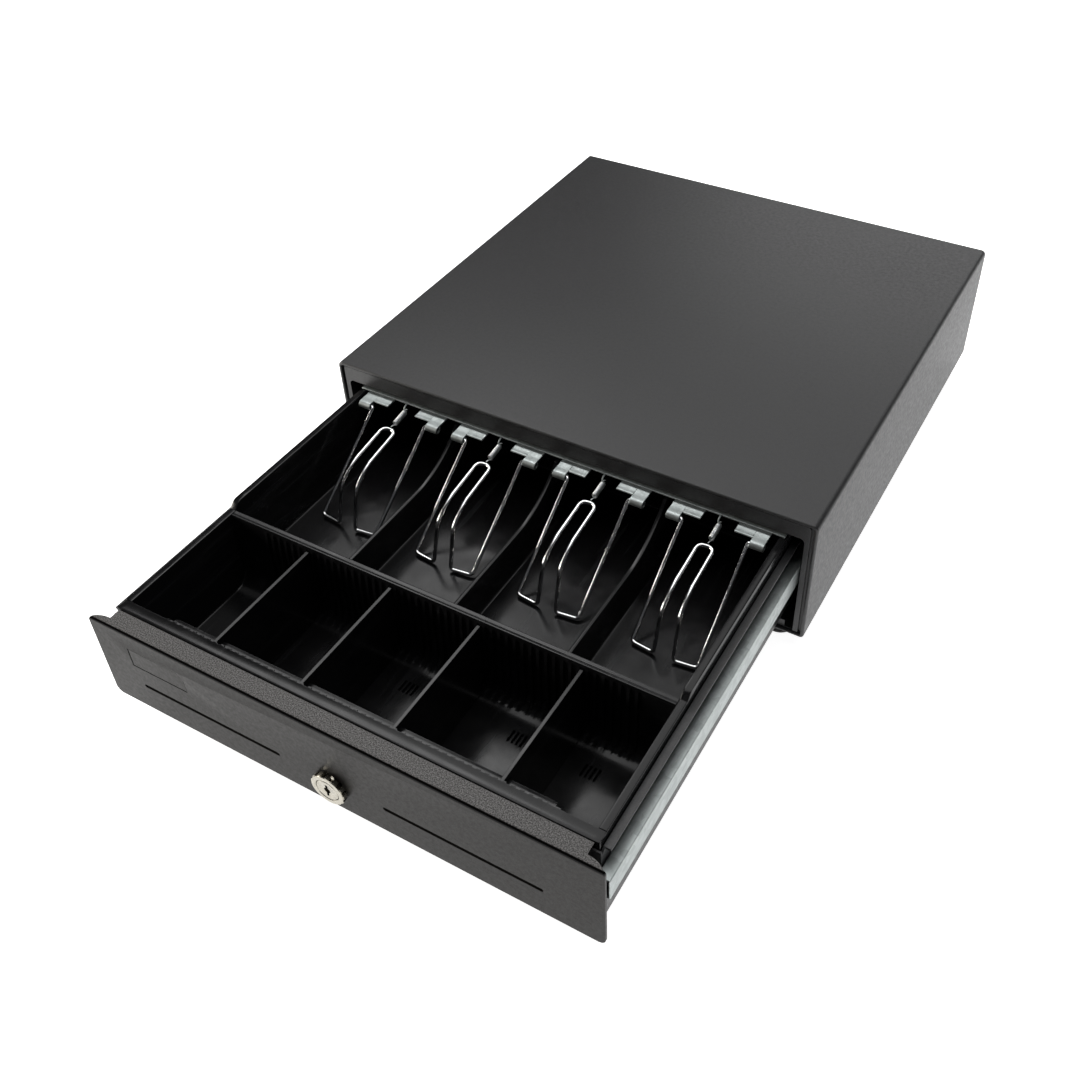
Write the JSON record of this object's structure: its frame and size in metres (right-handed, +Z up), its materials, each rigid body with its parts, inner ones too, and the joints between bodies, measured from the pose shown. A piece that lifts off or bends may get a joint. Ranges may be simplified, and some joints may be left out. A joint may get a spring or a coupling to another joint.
{
  "type": "cash drawer",
  "caption": "Steel cash drawer shown open: note compartments with wire clips, coin bays with lift-out dividers, a keyed front and a solenoid latch in the case.",
  "frame": {"origin": "centre of the open drawer's footprint, on the plane that the feet rest on", "axes": "+Z up, the drawer opens towards -Y, +X to the right as seen from the front"},
  "size_m": [0.33, 0.561, 0.1],
  "materials": {
    "case_paint": "fine textured satin black powder coat",
    "front_paint": "textured satin charcoal powder coat",
    "till_plastic": "glossy moulded black",
    "zinc": "zinc plated, satin",
    "nickel": "warm nickel plate, semi-bright",
    "chrome_wire": "bright plated wire",
    "spring_steel": "plain spring steel",
    "rubber": "matt black",
    "black_plastic": "matt moulded",
    "nylon": "natural white nylon",
    "coil_tape": "amber winding tape"
  },
  "bodies": {
    "root": {"case_shell": "case_paint", "front_frame": "case_paint", "base_plate": "case_paint", "rear_panel": "case_paint", "foot_front_left": "rubber", "foot_front_right": "rubber", "foot_rear_left": "rubber", "foot_rear_right": "rubber", "case_rail_left": "zinc", "case_rail_right": "zinc", "front_roller_pin_left": "zinc", "front_roller_pin_right": "zinc", "latch_pin": "zinc", "latch_spring": "spring_steel", "solenoid_frame": "zinc", "solenoid_coil": "coil_tape", "ejector_housing": "black_plastic", "ejector_spring": "spring_steel", "switch_body": "black_plastic", "phone_socket": "black_plastic"},
    "drawer": {"drawer_tray": "case_paint", "front_plate": "front_paint", "badge": "front_paint", "lock_barrel": "nickel", "lock_nut": "nickel", "drawer_rail_left": "zinc", "drawer_rail_right": "zinc", "rear_roller_pin_left": "zinc", "rear_roller_pin_right": "zinc", "striker": "zinc", "till_tray": "till_plastic", "clip_bracket": "zinc"},
    "lock": {"lock_cylinder": "nickel", "lock_cam": "zinc"},
    "latch": {"latch_lever": "zinc"},
    "plunger": {"plunger": "nickel"},
    "ejector": {"ejector_rod": "nylon"},
    "switch": {"switch_button": "nylon"},
    "front_roller_left": {"front_roller_left": "nylon"},
    "rear_roller_left": {"rear_roller_left": "nylon"},
    "front_roller_right": {"front_roller_right": "nylon"},
    "rear_roller_right": {"rear_roller_right": "nylon"},
    "coin_divider_1": {"coin_divider_1": "till_plastic"},
    "bill_clip_1": {"bill_clip_1": "chrome_wire"},
    "clip_spring_1": {"clip_spring_1": "spring_steel"},
    "coin_divider_2": {"coin_divider_2": "till_plastic"},
    "bill_clip_2": {"bill_clip_2": "chrome_wire"},
    "clip_spring_2": {"clip_spring_2": "spring_steel"},
    "coin_divider_3": {"coin_divider_3": "till_plastic"},
    "bill_clip_3": {"bill_clip_3": "chrome_wire"},
    "clip_spring_3": {"clip_spring_3": "spring_steel"},
    "coin_divider_4": {"coin_divider_4": "till_plastic"},
    "bill_clip_4": {"bill_clip_4": "chrome_wire"},
    "clip_spring_4": {"clip_spring_4": "spring_steel"}
  },
  "joints": [
    {"name": "drawer_slide", "type": "slide", "parent": "root", "child": "drawer", "axis": [0, -1, 0], "range_m": [-0.226, 0.03]},
    {"name": "front_roller_left_spin", "type": "hinge", "parent": "root", "child": "front_roller_left", "pos_m": [-0.1533, -0.0235, 0.0447], "axis": [1, 0, 0], "range_deg": [-2158.7, 287]},
    {"name": "rear_roller_left_spin", "type": "hinge", "parent": "drawer", "child": "rear_roller_left", "pos_m": [-0.1525, 0.0405, 0.0586], "axis": [1, 0, 0], "range_deg": [-1423.5, 189.4]},
    {"name": "front_roller_right_spin", "type": "hinge", "parent": "root", "child": "front_roller_right", "pos_m": [0.1533, -0.0235, 0.0447], "axis": [1, 0, 0], "range_deg": [-2158.7, 287]},
    {"name": "rear_roller_right_spin", "type": "hinge", "parent": "drawer", "child": "rear_roller_right", "pos_m": [0.1525, 0.0405, 0.0586], "axis": [1, 0, 0], "range_deg": [-1423.5, 189.4]},
    {"name": "lock_turn", "type": "hinge", "parent": "drawer", "child": "lock", "pos_m": [-0.0012, -0.2775, 0.0356], "axis": [0, -1, 0], "range_deg": [-90, 45]},
    {"name": "bill_clip_1_lift", "type": "hinge", "parent": "drawer", "child": "bill_clip_1", "pos_m": [-0.1095, -0.0615, 0.0834], "axis": [-1, 0, 0], "range_deg": [0, 80], "stiffness_Nm_per_rad": 0.004, "springref_deg": -17.19},
    {"name": "clip_spring_1_swing", "type": "hinge", "parent": "drawer", "child": "clip_spring_1", "pos_m": [-0.1095, -0.053, 0.0832], "axis": [-1, 0, 0], "range_deg": [0, 48.5]},
    {"name": "bill_clip_2_lift", "type": "hinge", "parent": "drawer", "child": "bill_clip_2", "pos_m": [-0.0382, -0.0615, 0.0834], "axis": [-1, 0, 0], "range_deg": [0, 80], "stiffness_Nm_per_rad": 0.004, "springref_deg": -17.19},
    {"name": "clip_spring_2_swing", "type": "hinge", "parent": "drawer", "child": "clip_spring_2", "pos_m": [-0.0382, -0.053, 0.0832], "axis": [-1, 0, 0], "range_deg": [0, 48.5]},
    {"name": "bill_clip_3_lift", "type": "hinge", "parent": "drawer", "child": "bill_clip_3", "pos_m": [0.0344, -0.0615, 0.0834], "axis": [-1, 0, 0], "range_deg": [0, 80], "stiffness_Nm_per_rad": 0.004, "springref_deg": -17.19},
    {"name": "clip_spring_3_swing", "type": "hinge", "parent": "drawer", "child": "clip_spring_3", "pos_m": [0.0344, -0.053, 0.0832], "axis": [-1, 0, 0], "range_deg": [0, 48.5]},
    {"name": "bill_clip_4_lift", "type": "hinge", "parent": "drawer", "child": "bill_clip_4", "pos_m": [0.1095, -0.0615, 0.0834], "axis": [-1, 0, 0], "range_deg": [0, 80], "stiffness_Nm_per_rad": 0.004, "springref_deg": -17.19},
    {"name": "clip_spring_4_swing", "type": "hinge", "parent": "drawer", "child": "clip_spring_4", "pos_m": [0.1095, -0.053, 0.0832], "axis": [-1, 0, 0], "range_deg": [0, 48.5]},
    {"name": "coin_divider_1_lift", "type": "slide", "parent": "drawer", "child": "coin_divider_1", "axis": [0, 0, 1], "range_m": [0, 0.045]},
    {"name": "coin_divider_2_lift", "type": "slide", "parent": "drawer", "child": "coin_divider_2", "axis": [0, 0, 1], "range_m": [0, 0.045]},
    {"name": "coin_divider_3_lift", "type": "slide", "parent": "drawer", "child": "coin_divider_3", "axis": [0, 0, 1], "range_m": [0, 0.045]},
    {"name": "coin_divider_4_lift", "type": "slide", "parent": "drawer", "child": "coin_divider_4", "axis": [0, 0, 1], "range_m": [0, 0.045]},
    {"name": "plunger_pull", "type": "slide", "parent": "root", "child": "plunger", "axis": [1, 0, 0], "range_m": [0, 0.004], "stiffness_N_per_m": 200},
    {"name": "latch_swing", "type": "hinge", "parent": "root", "child": "latch", "pos_m": [-0.04, 0.2565, 0.03], "axis": [0, 0, -1], "range_deg": [0, 19.2]},
    {"name": "ejector_push", "type": "slide", "parent": "root", "child": "ejector", "axis": [0, -1, 0], "range_m": [0, 0.012]},
    {"name": "switch_press", "type": "slide", "parent": "root", "child": "switch", "axis": [0, 1, 0], "range_m": [0, 0.0015], "stiffness_N_per_m": 150}
  ],
  "couplings": [
    {"joint": "front_roller_left_spin", "follows": "drawer_slide", "rad_per_m": 166.67},
    {"joint": "rear_roller_left_spin", "follows": "drawer_slide", "rad_per_m": 109.89},
    {"joint": "front_roller_right_spin", "follows": "drawer_slide", "rad_per_m": 166.67},
    {"joint": "rear_roller_right_spin", "follows": "drawer_slide", "rad_per_m": 109.89},
    {"joint": "clip_spring_1_swing", "follows": "bill_clip_1_lift", "ratio": 0.6},
    {"joint": "clip_spring_2_swing", "follows": "bill_clip_2_lift", "ratio": 0.6},
    {"joint": "clip_spring_3_swing", "follows": "bill_clip_3_lift", "ratio": 0.6},
    {"joint": "clip_spring_4_swing", "follows": "bill_clip_4_lift", "ratio": 0.6},
    {"joint": "latch_swing", "follows": "plunger_pull", "rad_per_m": 83.333}
  ]
}
